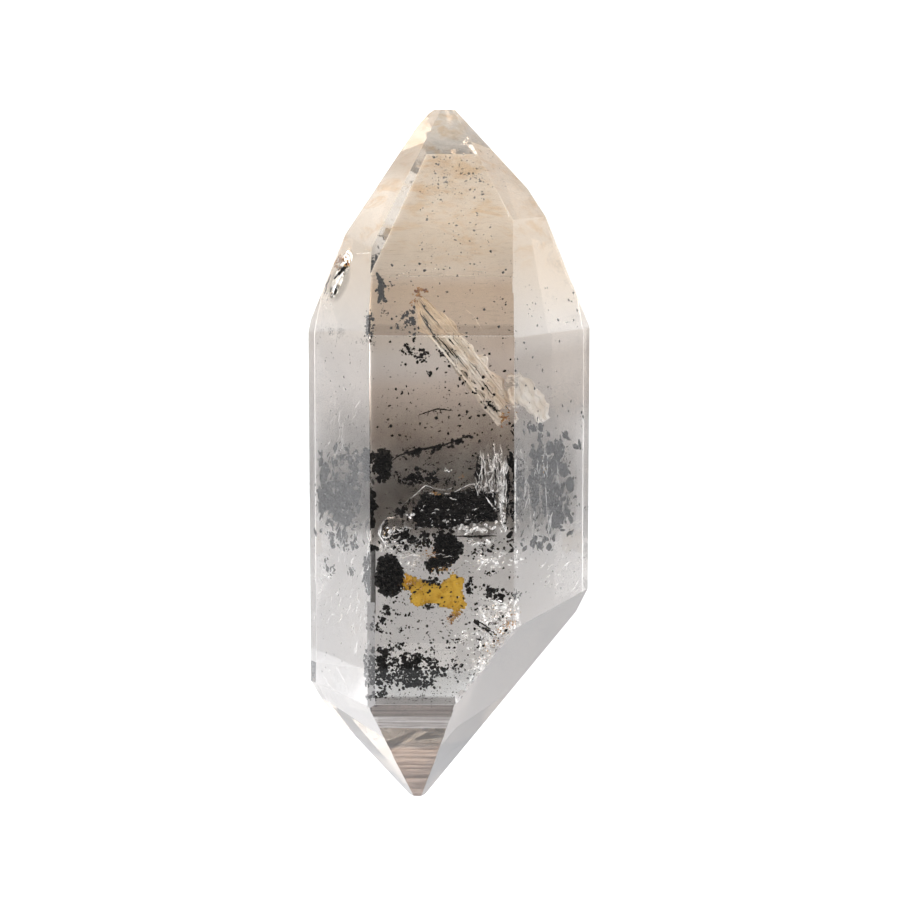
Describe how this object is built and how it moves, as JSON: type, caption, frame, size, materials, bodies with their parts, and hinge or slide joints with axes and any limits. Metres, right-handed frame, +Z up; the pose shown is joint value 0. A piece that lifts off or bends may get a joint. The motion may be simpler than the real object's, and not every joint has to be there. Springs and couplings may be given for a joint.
{
  "type": "enhydro quartz crystal",
  "caption": "Clear doubly terminated quartz crystal lying on a prism face, with sealed bitumen, yellow oil and a fluid chamber with a gas bubble.",
  "frame": {"origin": "on the back prism face that the crystal lies on, under the middle of its bounding box", "axes": "+Y along the long axis towards the taller, iron-stained end; +Z up, out of the front prism face; +X to the right seen from the front"},
  "size_m": [0.0262, 0.065, 0.0205],
  "materials": {
    "quartz": "clear, glossy natural faces, warm beige stain at the upper end",
    "bitumen": "near-black solid hydrocarbon, dull to pitchy lustre",
    "oil": "translucent golden yellow liquid",
    "fluid": "clear brine",
    "gas": "gas bubble with a bright rim"
  },
  "bodies": {
    "root": {"crystal_front": "quartz", "crystal_back": "quartz", "bitumen_plate": "bitumen", "bitumen_lump_center": "bitumen", "bitumen_lump_left": "bitumen", "bitumen_lump_upper_left": "bitumen", "bitumen_band_low": "bitumen", "oil_pool": "oil", "fluid_chamber": "fluid", "gas_bubble": "gas"}
  },
  "joints": []
}
